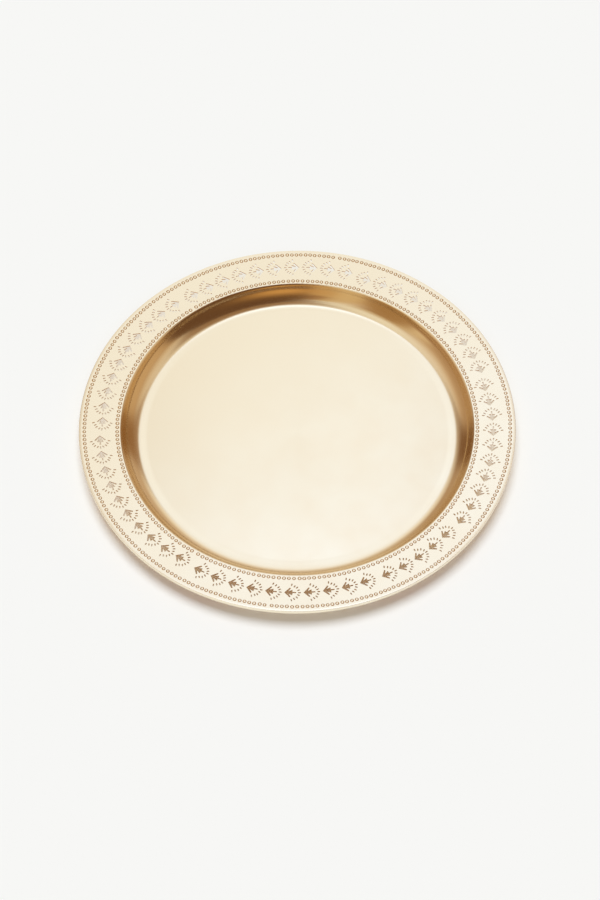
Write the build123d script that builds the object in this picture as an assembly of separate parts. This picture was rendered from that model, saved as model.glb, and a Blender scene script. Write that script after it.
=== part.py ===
from build123d import *
from math import cos, pi, radians, sin
import os

# A round serving tray of spun sheet brass.  Its pierced rim slopes down to a shallow
# well with a coved wall, and its edge is rolled under over a stiffening wire.
# Millimetres, +Z up.  The origin is under the middle, on the surface that it stands on.

# ---------------------------------------------------------------- driving sizes
# The sheet, from the outside in
tray_diameter = 330.0       # across the rolled edge
sheet_thickness = 0.7
rim_width = 30.8            # from the edge of the tray in to the shoulder
rim_slope = 3.0             # degrees, the rim rises outwards
shoulder_radius = 2.4       # upper face, the bend from rim to wall
wall_slope = 63.0           # degrees, the steepest part of the wall
wall_straight = 1.5         # straight part of the wall, between shoulder and cove
well_depth = 10.9           # from the inner end of the rim down to the floor
lead_radius = 60.0          # upper face, the gentle start of the cove
lead_turn = 6.0             # degrees that the gentle start turns

# The rolled edge, and the wire inside it
wire_diameter = 1.3
wire_clearance = 0.2        # all round the wire, inside the roll
roll_wrap = 290.0           # degrees that the sheet turns round the wire
wire_butt_gap = 0.3         # between the two ends of the wire

# The felt pads under the floor
pad_count = 4
pad_diameter = 18.0
pad_thickness = 1.5
pad_inset = 8.0             # from the edge of the flat floor in to a pad

# The pierced border of leaves, struck round the rim in strips
border_shift = -0.6         # from the middle of the rim, outwards
leaf_step = 14.015          # from one leaf of a strip to the next
strip_gap = 16.5            # least step from the last leaf of a strip to the next strip
strip_leaves = 10           # leaves in a whole strip
first_leaf = 19.4           # degrees from +X
gap_shares = (0.94, 1.015, 0.99, 1.04, 1.0, 1.015, 1.0)        # the gaps are set by hand
strip_leans = (-0.22, -0.26, -0.05, -0.34, 0.06, -0.26, -0.27)  # outward drift per leaf
strip_bow = 0.04            # a strip is straighter than the rim: inward drift per step squared

# One leaf, with u running round the rim towards its stem, and v outwards.
# It has a pointed tip, two long arms with round ends, two short barbs and a round stem.
leaf_tip = (-5.2, 0.0)
arm_end = (-1.1, 3.6)       # middle of the round end of an arm
arm_width = 1.1
arm_angle = 45.0            # degrees from u
arm_root = (-2.2, 1.15)     # bottom of the slot between arm and barb
barb_tip = (0.75, 2.35)
stem_width = 1.05
stem_end = 3.5              # u of the round end of the stem

# ---------------------------------------------------------------- derived sizes
tray_radius = tray_diameter / 2
mouth_radius = tray_radius - rim_width
wire_radius = wire_diameter / 2
roll_radius = wire_radius + wire_clearance + sheet_thickness
roll_centre = tray_radius - roll_radius
floor_height = pad_thickness + sheet_thickness

slope = radians(wall_slope)
rise = radians(rim_slope)
shoulder_run = shoulder_radius * (sin(slope) - sin(rise))
shoulder_drop = shoulder_radius * (cos(rise) - cos(slope))
lead = radians(lead_turn)
lead_run = lead_radius * sin(lead)
lead_rise = lead_radius * (1 - cos(lead))
cove_rise = well_depth - shoulder_drop - wall_straight * sin(slope) - lead_rise
cove_radius = cove_rise / (cos(lead) - cos(slope))
cove_run = cove_radius * (sin(slope) - sin(lead))
floor_radius = mouth_radius - shoulder_run - wall_straight * cos(slope) - cove_run - lead_run
rim_length = (roll_centre - roll_radius * sin(rise) - mouth_radius) / cos(rise)
mouth_height = floor_height + well_depth
roll_height = mouth_height + rim_length * sin(rise) - roll_radius * cos(rise)

border_radius = (mouth_radius + roll_centre) / 2 + border_shift
step_angle = 360 * leaf_step / (2 * pi * border_radius)
gap_angle = 360 * strip_gap / (2 * pi * border_radius)


# ---------------------------------------------------------------- the sheet
# A face of the sheet is walked from the middle of the floor outwards.  A step is a
# straight run with no turn, or a radius and the degrees that it turns upwards.
steps = (
    (floor_radius, 0),
    (lead_radius, lead_turn),
    (cove_radius, wall_slope - lead_turn),
    (wall_straight, 0),
    (shoulder_radius, rim_slope - wall_slope),
    (rim_length, 0),
    (roll_radius, -roll_wrap),
)


def sheet_face(depth):
    """Edges of the face that lies depth below the upper one, from the middle outwards."""
    r, z, heading = 0.0, floor_height - depth, 0.0
    edges = []
    for size, turn in steps:
        a = radians(heading)
        if turn == 0:
            end = (r + size * cos(a), z + size * sin(a))
            edges.append(Line((r, z), end))
        else:
            side = 1 if turn > 0 else -1
            radius = side * size + depth
            centre = (r - radius * sin(a), z + radius * cos(a))
            middle, end = [
                (centre[0] + radius * sin(b), centre[1] - radius * cos(b))
                for b in (radians(heading + turn / 2), radians(heading + turn))
            ]
            edges.append(ThreePointArc((r, z), middle, end))
        r, z = end
        heading += turn
    return edges


def plain_pan():
    """The spun sheet before it is pierced: its section, turned once round the middle."""
    upper = sheet_face(0)
    lower = sheet_face(sheet_thickness)
    middle = Line(lower[0] @ 0, upper[0] @ 0)
    free_edge = Line(upper[-1] @ 1, lower[-1] @ 1)
    section = make_face([middle, *upper, free_edge, *lower])
    return revolve(Plane.XZ * section, Axis.Z)


# ---------------------------------------------------------------- the pierced border
def leaf():
    """Outline of one leaf, as a flat face: its outer half, and the same again mirrored."""
    u, v = arm_end
    along = radians(arm_angle)
    du = arm_width / 2 * cos(along)
    dv = arm_width / 2 * sin(along)
    arm_outer = (u - dv, v + du)
    arm_inner = (u + dv, v - du)
    stem_corner = (stem_end - stem_width / 2, stem_width / 2)
    barb_back = (barb_tip[0], stem_width / 2)
    outer_half = [
        Line(leaf_tip, arm_outer),
        ThreePointArc(arm_outer, (u + du, v + dv), arm_inner),
        Line(arm_inner, arm_root),
        Line(arm_root, barb_tip),
        Line(barb_tip, barb_back),
        Line(barb_back, stem_corner),
        ThreePointArc(stem_corner, (stem_end, 0), (stem_corner[0], -stem_corner[1])),
    ]
    inner_half = [edge.mirror(Plane.XZ) for edge in outer_half[:-1]]
    return make_face([*outer_half, *inner_half])


def strips():
    """Number of leaves in each strip.  What is left over is a short strip, the last but one."""
    whole_strip = (strip_leaves - 1) * step_angle + gap_angle
    whole = int(360 / whole_strip)
    left_over = 360 - whole * whole_strip
    counts = [strip_leaves] * whole
    if left_over > gap_angle:
        counts.insert(whole - 1, int((left_over - gap_angle) / step_angle) + 1)
    return counts


def leaf_places():
    """Place of every leaf: its angle round the rim and its radius."""
    counts = strips()
    shares = [gap_shares[i % len(gap_shares)] for i in range(len(counts))]
    gaps = 360 - sum(count - 1 for count in counts) * step_angle
    angle = first_leaf
    places = []
    for i, count in enumerate(counts):
        middle = (count - 1) / 2
        mean_square = (count * count - 1) / 12
        lean = strip_leans[i % len(strip_leans)]
        for k in range(count):
            drift = lean * (k - middle) - strip_bow * ((k - middle) ** 2 - mean_square)
            places.append((angle + k * step_angle, border_radius + drift))
        angle += (count - 1) * step_angle + gaps * shares[i] / sum(shares)
    return places


def tray_pan():
    """The spun sheet, with every leaf cut through the rim."""
    base = mouth_height - sheet_thickness
    cutter = extrude(Rot(0, 0, 90) * leaf(), roll_height + 2 * roll_radius - base)
    cutters = [
        Rot(0, 0, angle) * Pos(radius, 0, base) * cutter for angle, radius in leaf_places()
    ]
    return plain_pan().cut(*cutters)


# ---------------------------------------------------------------- wire and pads
def edge_wire():
    """The stiffening wire, bent to a ring whose ends meet at the back."""
    gap_turn = 360 * wire_butt_gap / (2 * pi * roll_centre)
    section = Plane.XZ * Pos(roll_centre, roll_height) * Circle(wire_radius)
    ring = revolve(section, Axis.Z, 360 - gap_turn)
    return Rot(0, 0, 90 + gap_turn / 2) * ring


def felt_pads():
    """The pads, evenly spaced on a circle under the floor."""
    pad = extrude(Circle(pad_diameter / 2), pad_thickness)
    circle = floor_radius - pad_inset - pad_diameter / 2
    return list(PolarLocations(circle, pad_count, 180 / pad_count) * pad)


# ---------------------------------------------------------------- one file per piece
pieces = {"tray_pan": tray_pan(), "edge_wire": edge_wire()}
for number, pad in enumerate(felt_pads(), start=1):
    pieces[f"felt_pad_{number}"] = pad

os.makedirs("parts", exist_ok=True)
for name, piece in pieces.items():
    export_step(piece, f"parts/{name}.step", write_pcurves=False)
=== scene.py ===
# %% [markdown]
# # A pierced brass tray
#
# The tray is one sheet of brass, spun over a wooden former.  It has a flat floor, a
# coved wall and a wide rim that rises a little outwards.  The rim is pierced with strips
# of leaves, each with a fan of small slots round its stem, and two rows of ring marks
# are punched beside them.  The edge is rolled under over a steel wire, and four felt
# pads keep the tray off the table.
#
# We start by loading the solids.  They carry the sheet, the wire, the pads and the 65
# leaves.  Everything below is in metres in the same frame, with the origin under the
# middle of the tray.

import bpy
import numpy as np
from mathutils import Matrix, Vector
from mathutils.geometry import delaunay_2d_cdt


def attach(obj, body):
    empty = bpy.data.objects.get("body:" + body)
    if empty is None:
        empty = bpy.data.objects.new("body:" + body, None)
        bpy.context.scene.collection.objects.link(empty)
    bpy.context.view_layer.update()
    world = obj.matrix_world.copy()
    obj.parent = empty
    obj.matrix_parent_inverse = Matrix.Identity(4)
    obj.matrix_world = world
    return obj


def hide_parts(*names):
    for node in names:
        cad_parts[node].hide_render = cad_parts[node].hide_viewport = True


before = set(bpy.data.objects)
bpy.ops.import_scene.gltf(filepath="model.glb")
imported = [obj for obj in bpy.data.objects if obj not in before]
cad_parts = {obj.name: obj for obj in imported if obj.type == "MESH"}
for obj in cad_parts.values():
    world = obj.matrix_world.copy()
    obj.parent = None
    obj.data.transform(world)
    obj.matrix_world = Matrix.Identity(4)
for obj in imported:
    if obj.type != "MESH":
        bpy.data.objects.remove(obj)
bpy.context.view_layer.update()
print("solids:", ", ".join(sorted(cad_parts)))

# %% [markdown]
# ## Sizes
# A craftsman thinks of a tray in millimetres, so the sizes are in millimetres, and each
# mesh is scaled to metres when it is made.  They are the sizes that the solids have.

# %% Sizes of the sheet, in millimetres
tray_diameter = 330.0
thickness = 0.7
rim_width = 30.8
rim_slope = np.radians(3.0)
wall_slope = np.radians(63.0)
well_depth = 10.9
shoulder_radius = 2.4
wall_straight = 1.5
lead_radius = 60.0
lead_turn = np.radians(6.0)
roll_radius = 1.55
wire_radius, wire_gap = 0.65, 0.3
pad_radius, pad_height = 9.0, 1.5
pad_circle = 96.70

# %% What follows from them
around = 360
turn = 2 * np.pi * np.arange(around) / around

mouth_radius = tray_diameter / 2 - rim_width
floor_height = pad_height + thickness
mouth_height = floor_height + well_depth
roll_centre = tray_diameter / 2 - roll_radius
shoulder_drop = shoulder_radius * (np.cos(rim_slope) - np.cos(wall_slope))
cove_rise = (
    well_depth
    - shoulder_drop
    - wall_straight * np.sin(wall_slope)
    - lead_radius * (1 - np.cos(lead_turn))
)
cove_radius = cove_rise / (np.cos(lead_turn) - np.cos(wall_slope))
floor_radius = (
    mouth_radius
    - shoulder_radius * (np.sin(wall_slope) - np.sin(rim_slope))
    - wall_straight * np.cos(wall_slope)
    - cove_radius * (np.sin(wall_slope) - np.sin(lead_turn))
    - lead_radius * np.sin(lead_turn)
)
rim_length = (roll_centre - roll_radius * np.sin(rim_slope) - mouth_radius) / np.cos(rim_slope)
print(f"flat floor {2 * floor_radius:.1f} mm across, cove radius {cove_radius:.2f} mm")

# %% [markdown]
# ## Putting a surface into Blender
# Each piece is worked out as arrays of points and of faces.  One helper makes the mesh.
# It shades it smoothly, and keeps as sharp every edge that turns by more than an angle.


# %% A mesh from arrays
def make_piece(name, points, faces, sharp_angle=30.0, values=None):
    """A mesh object with points (n, 3) in millimetres, and a list of (k, 3) or (k, 4) face arrays.
    values holds one number per point, or one per face, for each named attribute."""
    mesh = bpy.data.meshes.new(name)
    mesh.from_pydata(points * 0.001, [], [row for block in faces for row in block.tolist()])
    for key, numbers in (values or {}).items():
        domain = "POINT" if len(numbers) == len(points) else "FACE"
        mesh.attributes.new(key, "FLOAT", domain).data.foreach_set("value", numbers)
    mesh.polygons.foreach_set("use_smooth", np.ones(len(mesh.polygons), bool))
    mesh.set_sharp_from_angle(angle=np.radians(sharp_angle))
    piece = bpy.data.objects.new(name, mesh)
    bpy.context.scene.collection.objects.link(piece)
    print(f"{name}: {len(points)} points, {len(mesh.polygons)} faces")
    return piece


# %% [markdown]
# ## The section of the sheet
# A spun sheet is a surface of revolution: a line (r, z) turned round the middle.  The
# line is walked like a path, as a list of straight runs and arcs, and the heading
# carries over from one to the next, so the runs and the arcs meet without a kink.  The
# lower face is the same walk, one thickness deeper.  A short guard run on both sides of
# the rim keeps the rim's shading flat right up to the bends.

# %% Walk the section
guard = 0.15
walk = (
    # size in mm, turn in radians, points on the step
    (floor_radius, 0.0, 5),
    (lead_radius, lead_turn, 6),
    (cove_radius, wall_slope - lead_turn, 18),
    (wall_straight, 0.0, 1),
    (shoulder_radius, rim_slope - wall_slope, 9),
    (guard, 0.0, 1),
    (rim_length - 2 * guard, 0.0, 1),
    (guard, 0.0, 1),
)


def section_line(depth):
    """Points (r, z) of the face that lies depth below the upper one.  An arc of radius R
    from heading a goes through centre + R (sin b, -cos b), with b from a to a + turn."""
    r, z, heading = 0.0, floor_height - depth, 0.0
    line = [np.array([[r, z]])]
    for size, bend, count in walk:
        t = np.arange(1, count + 1) / count
        if bend == 0.0:
            step = np.stack([r + t * size * np.cos(heading), z + t * size * np.sin(heading)], 1)
        else:
            radius = np.sign(bend) * size + depth
            b = heading + t * bend
            step = np.stack(
                [
                    r + radius * (np.sin(b) - np.sin(heading)),
                    z - radius * (np.cos(b) - np.cos(heading)),
                ],
                1,
            )
        line.append(step)
        r, z = step[-1]
        heading += bend
    return np.concatenate(line)


upper, lower = section_line(0.0), section_line(thickness)
at_roll = len(upper) - 2
at_mouth = at_roll - 1
roll_height = upper[-1, 1] - roll_radius * np.cos(rim_slope)

# %% [markdown]
# The edge is rolled under, away from the eye, and then dressed over a steel stake with a
# mallet.  The stake leaves it flat on top and flat outside, with a crisp corner between,
# so the roll's section is a square with small round corners.

# %% The rolled edge
outer_corner, inner_corner = 0.12, 0.06
roll_end = 0.45  # how far above the wire's middle the sheet ends


def dressed_roll(half, corner, count=6):
    """Points (r, z) round a square, clockwise from the top.  half is half its width, and each
    corner is centre + corner (cos a, sin a), a quarter turn, with a guard point on both sides
    of it.  The last side stops short of the rim."""
    line = [np.array([[roll_centre, roll_height + half]])]
    for start, u, v in ((90, 1, 1), (0, 1, -1), (-90, -1, -1)):
        a = np.radians(np.linspace(start, start - 90, count))
        middle = [roll_centre + u * (half - corner), roll_height + v * (half - corner)]
        bend = middle + corner * np.stack([np.cos(a), np.sin(a)], 1)
        before, after = [guard * np.round([np.sin(b), -np.cos(b)]) for b in (a[0], a[-1])]
        line.append(np.concatenate([[bend[0] - before], bend, [bend[-1] + after]]))
    line.append(np.array([[roll_centre - half, roll_height + roll_end]]))
    return np.concatenate(line)


upper = np.concatenate([upper, dressed_roll(roll_radius, outer_corner)])
lower = np.concatenate([lower, dressed_roll(roll_radius - thickness, inner_corner)])
print(f"section of {len(upper)} + {len(lower)} points, {upper[:, 1].max():.2f} mm high")

# %% [markdown]
# ## The pierced border
# The craftsman strikes the border by hand, in strips of ten leaves and a single strip of
# five, so the strips lean a little and the gaps between them differ.  The leaves of the
# solids are placed by the same rule: an angle round the rim, and a radius that drifts
# along the strip.

# %% Where the leaves are
border_shift = -0.6  # from the middle of the rim, outwards
leaf_spacing = 14.015
first_leaf = 19.4  # degrees from +X
gap_shares = np.array([0.94, 1.015, 0.99, 1.04, 1.0, 1.015, 1.0])
strip_leans = np.array([-0.22, -0.26, -0.05, -0.34, 0.06, -0.26, -0.27])
strip_bow = 0.04

border_radius = (mouth_radius + roll_centre) / 2 + border_shift
leaf_step = np.degrees(leaf_spacing / border_radius)
leaves_in = np.array([10, 10, 10, 10, 10, 5, 10])
gaps = 360 - (leaves_in - 1).sum() * leaf_step
advance = (leaves_in - 1) * leaf_step + gaps * gap_shares / gap_shares.sum()
strip_start = first_leaf + np.concatenate([[0.0], np.cumsum(advance)[:-1]])

strip = np.repeat(np.arange(7), leaves_in)
k = np.concatenate([np.arange(n) for n in leaves_in])
n = leaves_in[strip]
middle = (n - 1) / 2
drift = strip_leans[strip] * (k - middle)
drift -= strip_bow * ((k - middle) ** 2 - (n**2 - 1) / 12)
leaf_angle = np.radians(strip_start[strip] + k * leaf_step)
leaf_radius = border_radius + drift
print(f"{len(leaf_angle)} leaves on a circle of {2 * border_radius:.1f} mm")


# %% One leaf, as an outline
def arc_points(centre, radius, start, stop, count):
    """Points centre + radius (cos a, sin a), a from start to stop in degrees."""
    a = np.radians(np.linspace(start, stop, count))
    return np.stack([centre[0] + radius * np.cos(a), centre[1] + radius * np.sin(a)], 1)


# In a leaf's own frame, u runs round the rim towards the stem, and v outwards.
leaf_tip, arm_root, barb_tip = [-5.2, 0.0], [-2.2, 1.15], [0.75, 2.35]
arm_end, arm_half = (-1.1, 3.6), 0.55
stem_end, stem_half = (2.975, 0.0), 0.525
outer_half = np.concatenate(
    [
        [leaf_tip],
        arc_points(arm_end, arm_half, 135, -45, 7),
        [arm_root, barb_tip, [barb_tip[0], stem_half]],
        arc_points(stem_end, stem_half, 90, 0, 5),
    ]
)
inner_half = outer_half[-2:0:-1] * [1, -1]
leaf_outline = np.concatenate([outer_half, inner_half])[::-1]
print(f"a leaf has {len(leaf_outline)} points")

# %% [markdown]
# ## The slots and the ring marks
# Round each leaf nine small slots fan out like rays.  A chisel two millimetres
# wide cut them, so they are all one size with round ends, and they are not
# quite even.  The two rows beside the border were struck with one ring punch.  A ring
# punch leaves a small dome inside a groove.  The strikes bunch up in groups of four,
# because the craftsman worked from one divider mark to the next.

# %% Nine slots round each leaf
# Each slot's middle (u, v), and its lean in degrees
rays = np.array(
    [[5.9, 0.0, 0.0]]
    + [
        [u, side * v, side * lean]
        for u, v, lean in ((5.15, 2.15, 30), (4.0, 4.15, 50), (2.1, 5.35, 54), (0.05, 6.7, 75))
        for side in (1, -1)
    ]
)
slot_reach, slot_half = 0.60, 0.47  # from the middle to the round ends, and their radius
slot_wander, slot_twist = 0.07, 3.0  # how far the hand strays, in mm and degrees
slot_outline = np.concatenate(
    [
        arc_points((slot_reach, 0.0), slot_half, -90, 90, 5),
        arc_points((-slot_reach, 0.0), slot_half, 90, 270, 5),
    ]
)
hand = np.random.default_rng(11)


def turned(outline, angle):
    """Each outline (m, 2) turned by each angle (n,): an array (n, m, 2)."""
    c, s = np.cos(angle)[:, None], np.sin(angle)[:, None]
    x, y = outline[..., 0], outline[..., 1]
    return np.stack([c * x - s * y, s * x + c * y], -1)


def on_border(outlines, radius, angle):
    """Outlines (u, v), one for all or one each, moved out to the radii and round by the angles.
    Their order is turned, so that they run as the walls of the holes need them."""
    u, v = outlines[..., 0], outlines[..., 1]
    return turned(np.stack([radius[:, None] + v, u + 0 * radius[:, None]], -1), angle)[:, ::-1]


leaf_loops = on_border(leaf_outline, leaf_radius, leaf_angle)
owner = np.repeat(np.arange(len(leaf_angle)), len(rays))
ray = np.tile(rays, (len(leaf_angle), 1))
ray[:, :2] += hand.normal(0, slot_wander, (len(ray), 2))
ray[:, 2] += hand.normal(0, slot_twist, len(ray))
slots = turned(slot_outline, np.radians(ray[:, 2])) + ray[:, None, :2]
slot_loops = on_border(slots, leaf_radius[owner], leaf_angle[owner])
print(f"{len(slot_loops)} slots")


# %% Two rows of ring marks
outer_row, inner_row = 160.9, 136.2  # radii of the two circles
mark_outer, groove_radius, dome_radius = 1.43, 1.24, 1.03
groove_depth, dome_depth, bump_height = 0.09, 0.02, 0.12
uneven_step, uneven_radius, uneven_size = 0.03, 0.10, 0.025  # share, mm, share
skip_factor = 1.5  # where a strike came late, its step is this many times as long
widest = 0.49  # a mark's radius, as a share of the step to its nearer neighbour


def struck_row(radius, count, spacing, start, skips):
    """Marks (x, y, size) on a circle, from start in degrees: the spacing repeats, a step in
    skips is longer, and each strike is off by hand.  A mark is never wider than the step to
    its nearer neighbour."""
    steps = np.resize(spacing, count) * hand.normal(1.0, uneven_step, count)
    steps[list(skips)] *= skip_factor
    angle = np.radians(start + 360 * np.cumsum(steps) / steps.sum())
    r = radius + hand.normal(0, uneven_radius, count)
    x, y = r * np.cos(angle), r * np.sin(angle)
    room = np.hypot(x - np.roll(x, 1), y - np.roll(y, 1))
    room = np.minimum(room, np.roll(room, -1)) * widest / mark_outer
    return np.stack([x, y, np.minimum(hand.normal(1.0, uneven_size, count), room)], 1)


marks = np.concatenate(
    [
        struck_row(outer_row, 277, (1.27, 1.27, 1.3, 1.4), 0.0, (60, 201)),
        struck_row(inner_row, 231, (1.51, 1.53, 1.58, 1.68), 0.6, (80, 150)),
    ]
)
marks, mark_size = marks[:, :2], marks[:, 2]
print(f"{len(marks)} ring marks")

# %% [markdown]
# ## One closed sheet
# The pan is made as one closed surface.  The parts without holes are the section turned
# round.  On the rim, the holes are cut in a flat plan by a Delaunay triangulation that
# has to keep every outline as an edge, and the plan is then lifted on to the cone of the
# rim.  The upper and the lower face of each hole are joined by its wall.

# %% The turned parts
loop = np.arange(around)


def turned_rings(line):
    """Points (r cos t, r sin t, z), one ring of t for each (r, z): (rings, around, 3)."""
    r, z = line[:, 0, None], line[:, 1, None]
    return np.stack([r * np.cos(turn), r * np.sin(turn), z + 0 * turn], -1)


def band_faces(first, rings):
    """Quads between rings of points that start at index first and follow each other outwards."""
    a = first + (np.arange(rings - 1)[:, None] * around + loop).ravel()
    b = first + (np.arange(rings - 1)[:, None] * around + (loop + 1) % around).ravel()
    return np.stack([a, a + around, b + around, b], 1)


bands = (
    upper[1 : at_mouth + 1],
    np.concatenate([upper[at_roll:], lower[: at_roll - 1 : -1]]),
    lower[at_mouth:0:-1],
)
points = [turned_rings(band).reshape(-1, 3) for band in bands]
starts = np.cumsum([0] + [len(p) for p in points])
faces = [band_faces(first, len(band)) for first, band in zip(starts, bands)]

# The two poles, in the middle of the floor
poles = np.array([[0, 0, upper[0, 1]], [0, 0, lower[0, 1]]])
top_pole, under_pole = starts[3], starts[3] + 1
faces.append(np.stack([np.full(around, top_pole), loop, (loop + 1) % around], 1))
last = starts[3] - around
faces.append(np.stack([np.full(around, under_pole), last + (loop + 1) % around, last + loop], 1))
points.append(poles)
print(f"turned parts: {sum(len(f) for f in faces)} faces")

# %% Marks as loops, and the rim in plan
mark_sides, bump_sides = 12, 8
same_point = 1e-7  # mm, corners that are nearer than this count as one


def mark_loops(radius, sides):
    """A loop of points round every mark, scaled by the mark's own size: (marks, sides, 2)."""
    a = 2 * np.pi * np.arange(sides) / sides
    circle = np.stack([np.cos(a), np.sin(a)], 1)
    return marks[:, None] + circle * (radius * mark_size)[:, None, None]


def plan_triangles(sides):
    """Triangles of the rim between all its outlines, as indices into the list of outline points.
    A triangle with its three corners on one hole, and turning the way the hole does, lies in it."""
    rings = turned_rings(np.array([[upper[at_roll, 0], 0.0], [upper[at_mouth, 0], 0.0]]))[..., :2]
    loops = [rings[1], rings[0], *leaf_loops, *slot_loops, *mark_loops(mark_outer, sides)]
    flat = np.concatenate(loops)
    hole = np.repeat(np.arange(len(loops)), [len(outline) for outline in loops])
    ends = np.cumsum([len(outline) for outline in loops])
    follows = np.arange(1, len(flat) + 1)
    follows[ends - 1] = ends - [len(outline) for outline in loops]
    edges = np.stack([np.arange(len(flat)), follows], 1)
    corners = [Vector(p) for p in flat.tolist()]
    found = delaunay_2d_cdt(corners, edges.tolist(), [], 0, same_point)
    triangles = np.sort(np.array([o[0] for o in found[3]])[np.array(found[2])], 1)
    area = doubled_area(*(flat[triangles[:, i]] for i in range(3)))
    loop_area = np.zeros(len(loops))
    np.add.at(loop_area, hole, doubled_area(flat * 0, flat, flat[follows]))
    own = hole[triangles[:, 0]]
    inside = (hole[triangles] == own[:, None]).all(1) & (area * loop_area[own] > 0) & (own != 1)
    triangles[area < 0] = triangles[area < 0, ::-1]
    return flat, triangles[~inside]


def doubled_area(a, b, c):
    """Twice the signed area of the triangles (a, b, c), each array (n, 2)."""
    return np.cross(b - a, c - a)


flat_top, plan_top = plan_triangles(mark_sides)
flat_under, plan_under = plan_triangles(bump_sides)
print(f"rim in plan: {len(plan_top)} and {len(plan_under)} triangles")


# %% Lift the plan on to the rim
def on_rim(xy, depth=0.0, under=False):
    """Points (x, y, z) on the cone z = z0 + (r - mouth) tan(slope), lowered by depth."""
    r = np.hypot(xy[..., 0], xy[..., 1])
    z = mouth_height - under * thickness / np.cos(rim_slope)
    z = z + (r - mouth_radius) * np.tan(rim_slope) - depth
    return np.concatenate([xy, z[..., None]], -1)


def lift(flat, triangles, inner_ring, outer_ring, under=False):
    """Puts one face of the rim into the mesh, and returns the index of each of its points."""
    new = sum(len(p) for p in points) + np.arange(len(flat) - 2 * around)
    index = np.concatenate([inner_ring + loop, outer_ring + loop, new])
    points.append(on_rim(flat[2 * around :], under=under))
    faces.append(index[triangles[:, ::-1]] if under else index[triangles])
    return index


top_index = lift(flat_top, plan_top, starts[1] - around, starts[1])
under_index = lift(flat_under, plan_under, starts[2], starts[2] - around, under=True)

# Walls of the leaves and the slots: their points come first in both plans, in the same order
next_point = 2 * around
wall_blocks = [len(faces), len(faces) + 1]
for outline in (leaf_loops, slot_loops):
    shape = outline.shape[:2]
    i = next_point + np.arange(shape[0] * shape[1]).reshape(shape)
    j = np.roll(i, -1, 1)
    wall = np.stack([top_index[i], top_index[j], under_index[j], under_index[i]], -1)
    faces.append(wall.reshape(-1, 4))
    next_point += shape[0] * shape[1]
print(f"{len(leaf_loops) + len(slot_loops)} holes with walls")


# %% The ring marks, and the bumps that they leave on the underside
def close_marks(index, first, sides, rings, under=False):
    """Joins every mark's outline to the rings (radius, depth) inside it, and the last of them
    to the mark's middle, which stays at the height of the sheet."""
    outer = index[first + np.arange(len(marks) * sides).reshape(-1, sides)]
    for radius, depth in rings:
        start = sum(len(p) for p in points)
        points.append(on_rim(mark_loops(radius, sides), depth, under).reshape(-1, 3))
        inner = start + np.arange(len(marks) * sides).reshape(-1, sides)
        quads = np.stack([outer, np.roll(outer, -1, 1), np.roll(inner, -1, 1), inner], -1)
        faces.append((quads[..., ::-1] if under else quads).reshape(-1, 4))
        outer = inner
    start = sum(len(p) for p in points)
    points.append(on_rim(marks, under=under))
    tip = (start + np.arange(len(marks)))[:, None] + 0 * outer
    fans = np.stack([outer, np.roll(outer, -1, 1), tip], -1)
    faces.append((fans[..., ::-1] if under else fans).reshape(-1, 3))


before_marks = sum(len(p) for p in points)
groove_blocks = [len(faces), len(faces) + 1]
groove_and_dome = ((groove_radius, groove_depth), (dome_radius, dome_depth))
close_marks(top_index, next_point, mark_sides, groove_and_dome)
close_marks(under_index, next_point, bump_sides, ((groove_radius, bump_height),), under=True)

# %% The finished pan
pan_points = np.concatenate(points)
is_lower = np.zeros(len(pan_points))
is_lower[starts[1] + around * (len(bands[1]) // 2) : starts[3]] = 1
is_lower[under_pole] = 1
is_lower[under_index] = 1
is_lower[before_marks + len(marks) * (2 * mark_sides + 1) :] = 1
# The cut attribute marks the grooves of the ring marks and the walls of the holes; their brown is
# tarnish, and on the hole walls it is partly painted shade
is_cut = np.zeros(len(faces))
is_cut[wall_blocks + groove_blocks] = 1.0
is_cut = np.repeat(is_cut, [len(block) for block in faces])
shares = {"lower": is_lower, "cut": is_cut}
tray_pan = make_piece("brass_pan", pan_points, faces, sharp_angle=20.0, values=shares)
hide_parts("tray_pan")
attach(tray_pan, "root")

# %% [markdown]
# ## The wire in the edge
# A steel wire inside the roll keeps the edge stiff.  It is a circle carried round a
# circle, and it does not quite close: its two ends meet at the back with a small gap.


# %% The wire
def ring_wire(centre_radius, height, radius, gap, sides=12):
    """Points ((R + a cos v) cos t, (R + a cos v) sin t, h + a sin v), with t from the gap
    round to the gap."""
    gap_turn = gap / centre_radius
    t = (np.pi / 2 + np.linspace(gap_turn / 2, 2 * np.pi - gap_turn / 2, around + 1))[:, None]
    v = 2 * np.pi * np.arange(sides) / sides
    reach = centre_radius + radius * np.cos(v)
    body = np.stack([reach * np.cos(t), reach * np.sin(t), height + radius * np.sin(v) + 0 * t], -1)
    i = (np.arange(around)[:, None] * sides + np.arange(sides)).ravel()
    j = (np.arange(around)[:, None] * sides + (np.arange(sides) + 1) % sides).ravel()
    ends = [np.arange(sides)[None], around * sides + np.arange(sides)[None, ::-1]]
    return body.reshape(-1, 3), [np.stack([i, j, j + sides, i + sides], 1)[:, ::-1], *ends]


edge_wire = make_piece("steel_wire", *ring_wire(roll_centre, roll_height, wire_radius, wire_gap))
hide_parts("edge_wire")
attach(edge_wire, "root")

# %% [markdown]
# ## The felt pads
# Each pad is a disc that was punched out of thick felt.  A punched disc has a soft upper
# and lower edge, because the felt springs back, and its surface is a little uneven.


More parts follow.
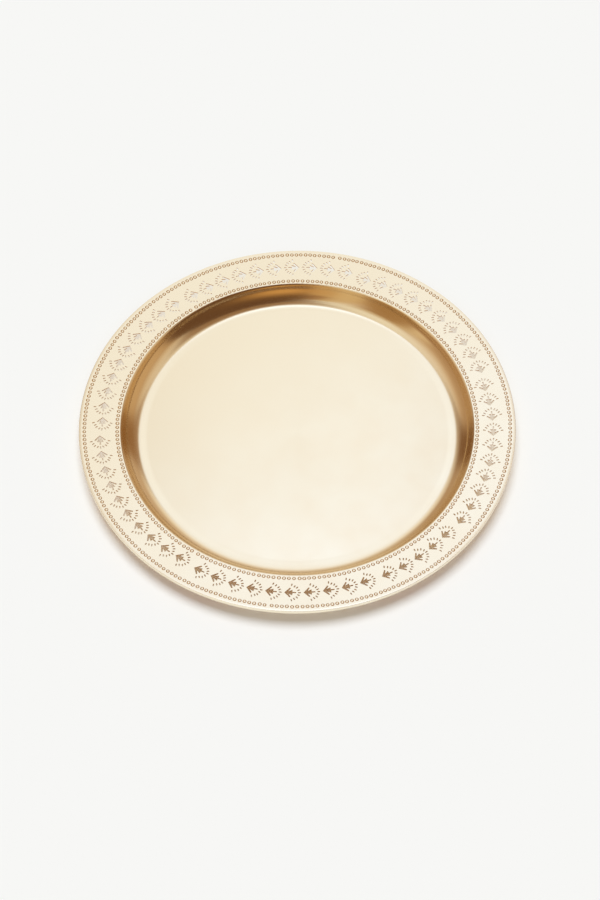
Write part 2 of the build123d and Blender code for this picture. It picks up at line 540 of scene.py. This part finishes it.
# %% Four pads
def felt_pad(angle, sides=64):
    """A disc turned from (0, h) out to its round edge and back to (0, 0).  A sum of sines in t
    makes the edge uneven."""
    soft = 0.35  # radius of the edge
    a = np.radians(np.linspace(90, 0, 5))
    over = np.stack([pad_radius - soft + soft * np.cos(a), pad_height - soft + soft * np.sin(a)], 1)
    flat = np.array([[3.0, pad_height], [6.0, pad_height]])
    half = np.concatenate([flat, over])
    line = np.concatenate([half, half[::-1] * [1, -1] + [0, pad_height]])
    t = 2 * np.pi * np.arange(sides) / sides
    wave = 0.05 * np.sin(7 * t + angle) + 0.04 * np.sin(17 * t) + 0.03 * np.sin(31 * t + 2 * angle)
    r = line[:, :1] * (1 - np.abs(wave) / pad_radius)
    body = np.stack([r * np.cos(t), r * np.sin(t), line[:, 1:] + 0 * t], -1).reshape(-1, 3)
    middle = np.array([pad_circle * np.cos(angle), pad_circle * np.sin(angle), 0.0])
    body = np.concatenate([body, [[0, 0, pad_height], [0, 0, 0]]]) + middle
    ring = np.arange(sides)
    rows = (np.arange(len(line) - 1)[:, None] * sides + ring).ravel()
    after = (np.arange(len(line) - 1)[:, None] * sides + (ring + 1) % sides).ravel()
    last = (len(line) - 1) * sides
    top, bottom = len(line) * sides, len(line) * sides + 1
    return body, [
        np.stack([rows, rows + sides, after + sides, after], 1),
        np.stack([np.full(sides, top), ring, (ring + 1) % sides], 1),
        np.stack([np.full(sides, bottom), last + (ring + 1) % sides, last + ring], 1),
    ]


pads = []
for number in range(1, 5):
    pad = make_piece(f"felt_disc_{number}", *felt_pad(np.radians(90 * number - 45)), sharp_angle=80)
    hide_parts(f"felt_pad_{number}")
    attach(pad, "root")
    pads.append(pad)

# %% [markdown]
# ## Colours and nodes
# Colours are written as on a screen, in sRGB hex, and Blender's shaders want linear
# light.  One function turns the one into the other.  Another adds a node with its
# settings and its links, so that each material reads like a recipe.


# %% Helpers for colours and nodes
def linear(hex_colour):
    """sRGB hex to linear RGBA: c / 12.92 below 0.04045, else ((c + 0.055) / 1.055) ** 2.4."""
    c = np.array([int(hex_colour[i : i + 2], 16) for i in (1, 3, 5)]) / 255
    rgb = np.where(c < 0.04045, c / 12.92, ((c + 0.055) / 1.055) ** 2.4)
    return (*rgb.tolist(), 1.0)


def add_node(tree, kind, inputs=None, **settings):
    """One node.  Each input is a value, or the output socket that feeds it."""
    node = tree.nodes.new(kind)
    for key, value in settings.items():
        setattr(node, key, value)
    for key, value in (inputs or {}).items():
        if isinstance(value, bpy.types.NodeSocket):
            tree.links.new(value, node.inputs[key])
        else:
            node.inputs[key].default_value = value
    return node


def from_axis(tree, place):
    """The distance sqrt(x x + y y) from the axis of the tray, as an output socket."""
    in_plan = add_node(
        tree, "ShaderNodeVectorMath", {0: place, 1: (1, 1, 0)}, operation="MULTIPLY"
    ).outputs[0]
    return add_node(tree, "ShaderNodeVectorMath", {0: in_plan}, operation="LENGTH").outputs["Value"]


def new_material(name):
    """An empty node material: its tree, and the tree's output node."""
    material = bpy.data.materials.new(name)
    material.use_nodes = True
    material.node_tree.nodes.clear()
    return material, material.node_tree, add_node(material.node_tree, "ShaderNodeOutputMaterial")


# %% [markdown]
# ## Polished spun brass
# Brass is copper with about a third of zinc.  Its colour comes from the metal itself, so
# it is metallic 1, with the colour in the base and the default IOR.  The sheet was
# polished on the lathe: that leaves a soft gloss, and marks that run round the middle.
# The marks are about a tenth of a millimetre apart, which is too fine to show, so they
# are drawn 1.2 mm apart.  Handling leaves faint clouds in the colour, a few centimetres
# across, and the colour is a little yellower towards the back left.  Polish does not reach
# into the grooves of the ring marks or into the cut edges of the holes, which stay brown;
# on the walls of the holes that brown is also painted shade.  The underside is duller.

# %% Brass
brass, tree, out = new_material("polished_spun_brass")
place = add_node(tree, "ShaderNodeTexCoord").outputs["Object"]
lathe = add_node(
    tree,
    "ShaderNodeTexNoise",
    {"W": from_axis(tree, place), "Scale": 1 / 0.0012, "Detail": 3.0, "Roughness": 0.6},
    noise_dimensions="1D",
).outputs["Fac"]
clouds = add_node(
    tree,
    "ShaderNodeTexNoise",
    {"Vector": place, "Scale": 1 / 0.035, "Detail": 3.0, "Roughness": 0.5},
).outputs["Fac"]
flecks = add_node(
    tree,
    "ShaderNodeTexNoise",
    {"Vector": place, "Scale": 1 / 0.0022, "Detail": 2.0, "Roughness": 0.7},
).outputs["Fac"]
cloud_amount = add_node(
    tree, "ShaderNodeMapRange", {"Value": clouds, "From Min": 0.35, "From Max": 0.7}
).outputs[0]
towards_back_left = add_node(
    tree, "ShaderNodeVectorMath", {0: place, 1: (-0.45, 0.65, 0.0)}, operation="DOT_PRODUCT"
).outputs["Value"]
back_left_tint = add_node(
    tree,
    "ShaderNodeMapRange",
    {"Value": towards_back_left, "From Min": -0.11, "From Max": 0.11},
    interpolation_type="SMOOTHSTEP",
).outputs[0]
fleck_amount = add_node(
    tree, "ShaderNodeMapRange", {"Value": flecks, "From Min": 0.74, "From Max": 0.80, "To Max": 0.5}
).outputs[0]
cut = add_node(tree, "ShaderNodeAttribute", attribute_name="cut").outputs["Fac"]
lower_side = add_node(tree, "ShaderNodeAttribute", attribute_name="lower").outputs["Fac"]

# %% The colour of the brass
# Fresh lacquer, and over it the clouds, the tint towards the back left, the flecks, the dull
# lower side and the brown in the cuts, which on the hole walls is partly painted shade, each by its
# own amount
tone = linear("#f7efda")
for amount, colour in (
    (cloud_amount, "#f5ead2"),
    (back_left_tint, "#f0e2c3"),
    (fleck_amount, "#b98f5c"),
    (lower_side, "#e8d0a6"),
    # Brown in the cuts: tarnish, and on the hole walls partly painted shade
    (cut, "#bd8334"),
):
    layer = {"Factor": amount, "A": tone, "B": linear(colour)}
    tone = add_node(tree, "ShaderNodeMix", layer, data_type="RGBA").outputs["Result"]

# %% The gloss of the brass
# The lathe's marks, and then what the lower side and the cuts add to the roughness
gloss = add_node(
    tree, "ShaderNodeMapRange", {"Value": lathe, "To Min": 0.15, "To Max": 0.18}
).outputs[0]
for where, added in ((lower_side, 0.12), (cut, 0.2)):
    gloss = add_node(
        tree, "ShaderNodeMath", {0: where, 1: added, 2: gloss}, operation="MULTIPLY_ADD"
    ).outputs[0]
round_middle = add_node(tree, "ShaderNodeTangent", direction_type="RADIAL", axis="Z").outputs[0]
relief = add_node(tree, "ShaderNodeBump", {"Strength": 0.08, "Distance": 0.00002, "Height": lathe})
surface = add_node(
    tree,
    "ShaderNodeBsdfPrincipled",
    {
        "Base Color": tone,
        "Metallic": 1.0,
        "Roughness": gloss,
        "Anisotropic": 0.2,
        "Tangent": round_middle,
        "Normal": relief.outputs["Normal"],
    },
)
tree.links.new(surface.outputs[0], out.inputs["Surface"])
tray_pan.data.materials.append(brass)
print(f"{brass.name}: {len(tree.nodes)} nodes")

# %% [markdown]
# ## Drawn steel wire
# Wire is pulled through a die, which leaves fine lines along it and a grey gloss.  Its
# lines run round the ring, so they are noise that changes across the section only.

# %% Steel
steel, tree, out = new_material("drawn_steel_wire")
place = add_node(tree, "ShaderNodeTexCoord").outputs["Object"]
height = add_node(tree, "ShaderNodeSeparateXYZ", {0: place}).outputs["Z"]
section = {"X": from_axis(tree, place), "Y": height}
across = add_node(tree, "ShaderNodeCombineXYZ", section).outputs[0]
lines = add_node(
    tree, "ShaderNodeTexNoise", {"Vector": across, "Scale": 1 / 0.0002, "Detail": 2.0}
).outputs["Fac"]
greys = {"Factor": lines, "A": linear("#9a9a96"), "B": linear("#c4c4c0")}
tone = add_node(tree, "ShaderNodeMix", greys, data_type="RGBA").outputs["Result"]
dull = add_node(
    tree, "ShaderNodeMapRange", {"Value": lines, "To Min": 0.3, "To Max": 0.45}
).outputs[0]
surface = add_node(
    tree, "ShaderNodeBsdfPrincipled", {"Base Color": tone, "Metallic": 1.0, "Roughness": dull}
)
tree.links.new(surface.outputs[0], out.inputs["Surface"])
edge_wire.data.materials.append(steel)
print(f"{steel.name}: {len(tree.nodes)} nodes")

# %% [markdown]
# ## Wool felt
# Felt is pressed wool.  It has no weave: short fibres lie in all directions, about half
# a millimetre apart, and the loose ones at the surface catch the light at a low angle.
# A sheen lobe does that.  The colour is the dark brown that is sold for table feet.

# %% Felt
felt, tree, out = new_material("pressed_wool_felt")
place = add_node(tree, "ShaderNodeTexCoord").outputs["Object"]
fibres = add_node(
    tree,
    "ShaderNodeTexNoise",
    {"Vector": place, "Scale": 1 / 0.0005, "Detail": 5.0, "Roughness": 0.7, "Distortion": 1.2},
).outputs["Fac"]
tufts = add_node(
    tree, "ShaderNodeTexNoise", {"Vector": place, "Scale": 1 / 0.004, "Detail": 2.0}
).outputs["Fac"]
tone = linear("#33271f")
for amount, colour in ((fibres, "#5f4c3d"), (tufts, "#443528")):
    layer = {"Factor": amount, "A": tone, "B": linear(colour)}
    tone = add_node(tree, "ShaderNodeMix", layer, data_type="RGBA").outputs["Result"]
nap = add_node(tree, "ShaderNodeBump", {"Strength": 0.6, "Distance": 0.0002, "Height": fibres})
surface = add_node(
    tree,
    "ShaderNodeBsdfPrincipled",
    {
        "Base Color": tone,
        "Roughness": 0.95,
        "Sheen Weight": 0.4,
        "Sheen Roughness": 0.5,
        "Normal": nap.outputs["Normal"],
    },
)
tree.links.new(surface.outputs[0], out.inputs["Surface"])
for pad in pads:
    pad.data.materials.append(felt)
print(f"{felt.name}: {len(tree.nodes)} nodes on {len(pads)} pads")

# %% [markdown]
# ## What the brass reflects
# Polished metal has little colour of its own: it shows the room.  Whoever displays
# metalware therefore builds a small room of boards round the piece, pale ones to fill it
# with light and brown ones to draw its curves.  Ours is one dome, and each board is a
# patch of it, given by its azimuth and height in degrees.  Azimuth is measured from +X,
# so +90 is behind the tray and -90 is where the camera stands.  Only reflections see the
# dome.  The table and the felt are lit by the world and two lamps.

# %% The room as a colour for each direction
room_radius = 3.0
azimuth = np.arange(360.0)
height_angle = np.linspace(-12.0, 90.0, 103)
az, el = np.meshgrid(azimuth, height_angle)


def step_up(x, edge, soft):
    """0 below the edge and 1 above it, as t t (3 - 2 t) over 2 soft degrees."""
    t = np.clip((x - edge + soft) / (2 * soft), 0, 1)
    return t * t * (3 - 2 * t)


def board(left, right, bottom, top, soft):
    """Cover of a board: a product of four soft steps.  An edge may be an array."""
    across = (az - (left + right) / 2 + 180) % 360 - 180
    half = (right - left) / 2
    sides = step_up(across, -half, soft) * (1 - step_up(across, half, soft))
    return sides * step_up(el, bottom, soft) * (1 - step_up(el, top, soft))


def lay(colours, cover, colour):
    """The board's colour over what is there: c + cover (colour - c)."""
    return colours + cover[..., None] * (np.asarray(colour) - colours)


# %% The walls of the room, warm wood below and paler towards the ceiling
wall_heights = [0.0, 18.0, 32.0, 46.0, 60.0, 72.0]
wall_colours = np.array(
    [
        [0.46, 0.26, 0.13],
        [0.49, 0.30, 0.15],
        [0.56, 0.36, 0.20],
        [0.70, 0.52, 0.34],
        [0.82, 0.68, 0.52],
        [0.92, 0.84, 0.70],
    ]
)
room = np.stack([np.interp(el, wall_heights, wall_colours[:, i]) for i in range(3)], -1)

# A warm board on the right, and the dark gap overhead, which comes lower there
gap_azimuth = [0, 25, 45, 60, 75, 90, 105, 120, 135, 165, 210, 240, 260]
gap_heights = [40, 54, 62, 64, 66, 68, 69, 72, 76, 84, 87, 84, 80]
gap_edge = np.interp((az + 30) % 360, gap_azimuth, gap_heights)
gap_soft = 4 + 3 * np.exp(-(((az - 90) / 35) ** 2))
room = lay(room, board(-12.0, 42.0, -20.0, 34.0, 8.0), (0.62, 0.40, 0.21))
room = lay(room, step_up(el, gap_edge, gap_soft), (0.32, 0.18, 0.09))

# %% The sides where the camera stands
# The dark side, with a warm glow in it and a paler slit beside it
room = lay(room, board(-128.0, -98.0, -20.0, 74.0, 3.0), (0.60, 0.37, 0.16))
room = lay(room, board(-128.0, -113.0, -20.0, 76.0, 3.0), (0.72, 0.51, 0.27))
room = lay(room, board(-111.0, -98.0, 46.0, 95.0, 6.0), (0.33, 0.16, 0.07))
room = lay(room, board(-99.0, -15.0 + 0.12 * el, -20.0, 95.0, 4.0), (0.145, 0.068, 0.030))
lamp_glow = np.exp(-((((az + 83 + 180) % 360 - 180) / 20) ** 2) - ((el - 20) / 24) ** 2)
room = lay(room, lamp_glow * step_up(el, 6.0, 6.0), (0.68, 0.35, 0.11))

# Two paler boards at the front left, and the dark post beside them
room = lay(room, 0.8 * board(-178.0, -140.0, 50.0, 71.0, 7.0), (0.60, 0.42, 0.23))
room = lay(room, board(-171.0, -158.0, 12.0, 54.0, 5.0), (0.76, 0.56, 0.33))
post = board(-157.0 - 0.003 * el**2, -130.0 - 0.0025 * el**2, -20.0, 60.0, 5.0)
room = lay(room, post, (0.40, 0.215, 0.082))

# %% The window behind the tray, in its dark arch
# The pale wall inside the arch, a warm glow in the middle of it, the arch itself, the window,
# and the brightest panes
from_back = (az - 90 + 180) % 360 - 180
room = lay(room, 0.9 * board(78.0, 106.0, 50.0, 66.0, 4.0), (0.98, 1.00, 1.05))
on_right = from_back < 0
across_arch = from_back / np.where(on_right, 54.0, 47.0)
from_middle = np.hypot(across_arch, np.clip(el, 0, None) / np.where(on_right, 59.0, 66.0))
in_arch = 1 - step_up(from_middle, 0.85, 0.04)
right_of_window = step_up(-from_back, 0.0, 25.0)[..., None]
room = lay(room, in_arch, (0.48, 0.30, 0.16) + right_of_window * (0.14, 0.13, 0.11))
arch_glow = np.exp(-((across_arch / (0.36 + 0.22 * step_up(el, 28.0, 12.0))) ** 4))
room = lay(room, in_arch * arch_glow * step_up(el, 12.0, 26.0), (0.93, 0.81, 0.64))
dark_arch = step_up(from_middle, 0.85, 0.04) * (1 - step_up(from_middle, 1.15, 0.06))
dark_arch *= (1 - step_up(el, 56.0, 6.0)) * step_up(abs(from_back), 13.0, 6.0)
dark_arch *= 1 - np.where(on_right, 0.15, 0.4) * step_up(el, 42.0, 10.0)
arch_colour = np.where(on_right[..., None], (0.30, 0.145, 0.055), (0.20, 0.09, 0.035))
room = lay(room, dark_arch, arch_colour)
window = board(76.0, 101.0, -20.0, 66.0, 7.0) * step_up(el, 28.0, 20.0)
room = lay(room, window, (1.03, 1.05, 1.10))
panes = 0.15 * board(80.0, 100.0, 50.0, 56.0, 2.0)
panes += 1.5 * board(80.0, 99.0, 62.0, 67.5, 2.0)
room = lay(room, panes, (1.36, 1.50, 1.85))
print(f"dome: {room.shape[0]} x {room.shape[1]} points")

# %% The dome
a, e = np.radians(az), np.radians(el)
dome_points = room_radius * np.stack([np.cos(e) * np.cos(a), np.cos(e) * np.sin(a), np.sin(e)], -1)
count = len(azimuth)
first_in_row = np.arange(len(height_angle) - 1)[:, None] * count
here = (first_in_row + np.arange(count)).ravel()
beside = (first_in_row + (np.arange(count) + 1) % count).ravel()
quads = np.stack([here, here + count, beside + count, beside], 1)
mesh = bpy.data.meshes.new("studio_dome")
mesh.from_pydata(dome_points.reshape(-1, 3), [], quads.tolist())
tones = mesh.attributes.new("board", "FLOAT_COLOR", "POINT")
tones.data.foreach_set("color", np.concatenate([room, np.ones_like(room[..., :1])], -1).ravel())
dome = bpy.data.objects.new("studio_dome", mesh)
bpy.context.scene.collection.objects.link(dome)
boards, tree, out = new_material("studio_boards")
seen = add_node(tree, "ShaderNodeAttribute", attribute_name="board").outputs["Color"]
shine = add_node(tree, "ShaderNodeEmission", {"Color": seen, "Strength": 1.0})
tree.links.new(shine.outputs[0], out.inputs["Surface"])
boards.cycles.emission_sampling = "NONE"
mesh.materials.append(boards)
for ray_kind in ("camera", "diffuse", "transmission", "shadow", "volume_scatter"):
    setattr(dome, f"visible_{ray_kind}", False)

# %% [markdown]
# ## Table, lamps and world
# The table is pale and matt, and it also glows: a painted glow, not a lamp, that comes
# through everywhere, so under the rim it fills the shadow with painted light.  It is
# strongest at the back, and it is warm and weak at the front, where it paints the shade
# under the front rim.  The painted glow and the share that is reflected always add up to one pale
# colour.

# %% Table
half_table = 4.0
table_corners = half_table * np.array([[-1, -1, 0], [1, -1, 0], [1, 1, 0], [-1, 1, 0]])
table_mesh = bpy.data.meshes.new("pale_table")
table_mesh.from_pydata(table_corners.tolist(), [], [(0, 1, 2, 3)])
table = bpy.data.objects.new("pale_table", table_mesh)
bpy.context.scene.collection.objects.link(table)
matt, tree, out = new_material("table_with_painted_glow")
place = add_node(tree, "ShaderNodeTexCoord").outputs["Object"]
depth = add_node(tree, "ShaderNodeSeparateXYZ", {0: place}).outputs["Y"]
ramp_half = 0.16  # the ramp runs from this far in front of the middle to as far behind it
along = add_node(
    tree, "ShaderNodeMapRange", {"Value": depth, "From Min": -ramp_half, "From Max": ramp_half}
).outputs[0]
ramp = add_node(tree, "ShaderNodeValToRGB", {"Fac": along})
stops = ramp.color_ramp.elements
# The share of painted glow from front to back: low and warm in front, where it paints the shade
# under the front rim, high at the back, where it paints light under the back rim
for y, share in (
    (-0.158, (0.150, 0.105, 0.045)),
    (-0.146, (0.130, 0.045, 0.010)),
    (-0.120, (0.170, 0.092, 0.042)),
    (-0.065, (0.300, 0.190, 0.105)),
    (0.009, (0.480, 0.380, 0.285)),
    (0.084, (0.665, 0.575, 0.490)),
    (0.138, (0.815, 0.745, 0.655)),
    (0.158, (0.880, 0.835, 0.750)),
):
    stops.new((y + ramp_half) / (2 * ramp_half)).color = (*share, 1.0)
stops.remove(stops[0])
stops.remove(stops[-1])
table_colour = linear("#f7f7f5")[:3]
# The painted glow: light given off by the table itself, though it is no lamp
painted_glow = add_node(
    tree, "ShaderNodeVectorMath", {0: ramp.outputs["Color"], 1: table_colour}, operation="MULTIPLY"
).outputs[0]
reflected = add_node(
    tree, "ShaderNodeVectorMath", {0: table_colour, 1: painted_glow}, operation="SUBTRACT"
).outputs[0]
surface = add_node(
    tree,
    "ShaderNodeBsdfPrincipled",
    {
        "Base Color": reflected,
        "Roughness": 1.0,
        "Specular IOR Level": 0.0,
        "Emission Color": painted_glow,
        "Emission Strength": 1.0,
    },
)
tree.links.new(surface.outputs[0], out.inputs["Surface"])
matt.cycles.emission_sampling = "NONE"
table_mesh.materials.append(matt)
print(f"{matt.name}: {len(tree.nodes)} nodes, {len(stops)} stops from front to back")

# %% [markdown]
# The main lamp is a wide soft one, almost overhead and a little behind the tray, so the
# shadow is short and lies in front.  A weaker one stands on the side of the camera.
# Their shares and that of the world add up to 1, which is white on a white sheet.

# %% Lamps and world
world_share = 0.15
world = bpy.data.worlds.new("pale_room")
world.use_nodes = True
world.node_tree.nodes["Background"].inputs["Color"].default_value = (1.0, 1.0, 1.0, 1.0)
world.node_tree.nodes["Background"].inputs["Strength"].default_value = world_share
bpy.context.scene.world = world

for name, share, from_azimuth, from_height, angle in (
    ("overhead_lamp", 0.70, 97.0, 78.0, 38.0),
    ("room_lamp", 0.15, -90.0, 45.0, 40.0),
):
    lamp_data = bpy.data.lights.new(name, "SUN")
    lamp_data.angle = np.radians(angle)
    lamp_data.energy = share * np.pi / np.sin(np.radians(from_height))
    lamp = bpy.data.objects.new(name, lamp_data)
    a, e = np.radians(from_azimuth), np.radians(from_height)
    towards_lamp = Vector((np.cos(e) * np.cos(a), np.cos(e) * np.sin(a), np.sin(e)))
    lamp.matrix_world = towards_lamp.to_track_quat("Z", "Y").to_matrix().to_4x4()
    lamp.visible_glossy = False
    bpy.context.scene.collection.objects.link(lamp)
    print(f"{name}: {lamp_data.energy:.2f} W/m2 on a face turned to it")

# %% [markdown]
# ## Camera
# The camera looks down at the tray from about 56 degrees above the table, from just over
# two metres away through a long lens, with its top tipped a touch to the right.

# %% Camera
eye = Vector((0.0, -1.21471, 1.78828))
aim = Vector((0.00176, -0.02418, 0.0145))
roll = np.radians(-0.883)
camera_data = bpy.data.cameras.new("camera")
camera_data.lens = 113.72
camera_data.sensor_width = 36.0
camera_data.clip_start, camera_data.clip_end = 0.1, 20.0
camera = bpy.data.objects.new("camera", camera_data)
towards = (aim - eye).to_track_quat("-Z", "Y").to_matrix().to_4x4()
camera.matrix_world = Matrix.Translation(eye) @ towards @ Matrix.Rotation(roll, 4, "Z")
bpy.context.scene.collection.objects.link(camera)
bpy.context.scene.camera = camera
bpy.context.scene.view_settings.view_transform = "Standard"
print(f"camera {(eye - aim).length:.2f} m from the tray")
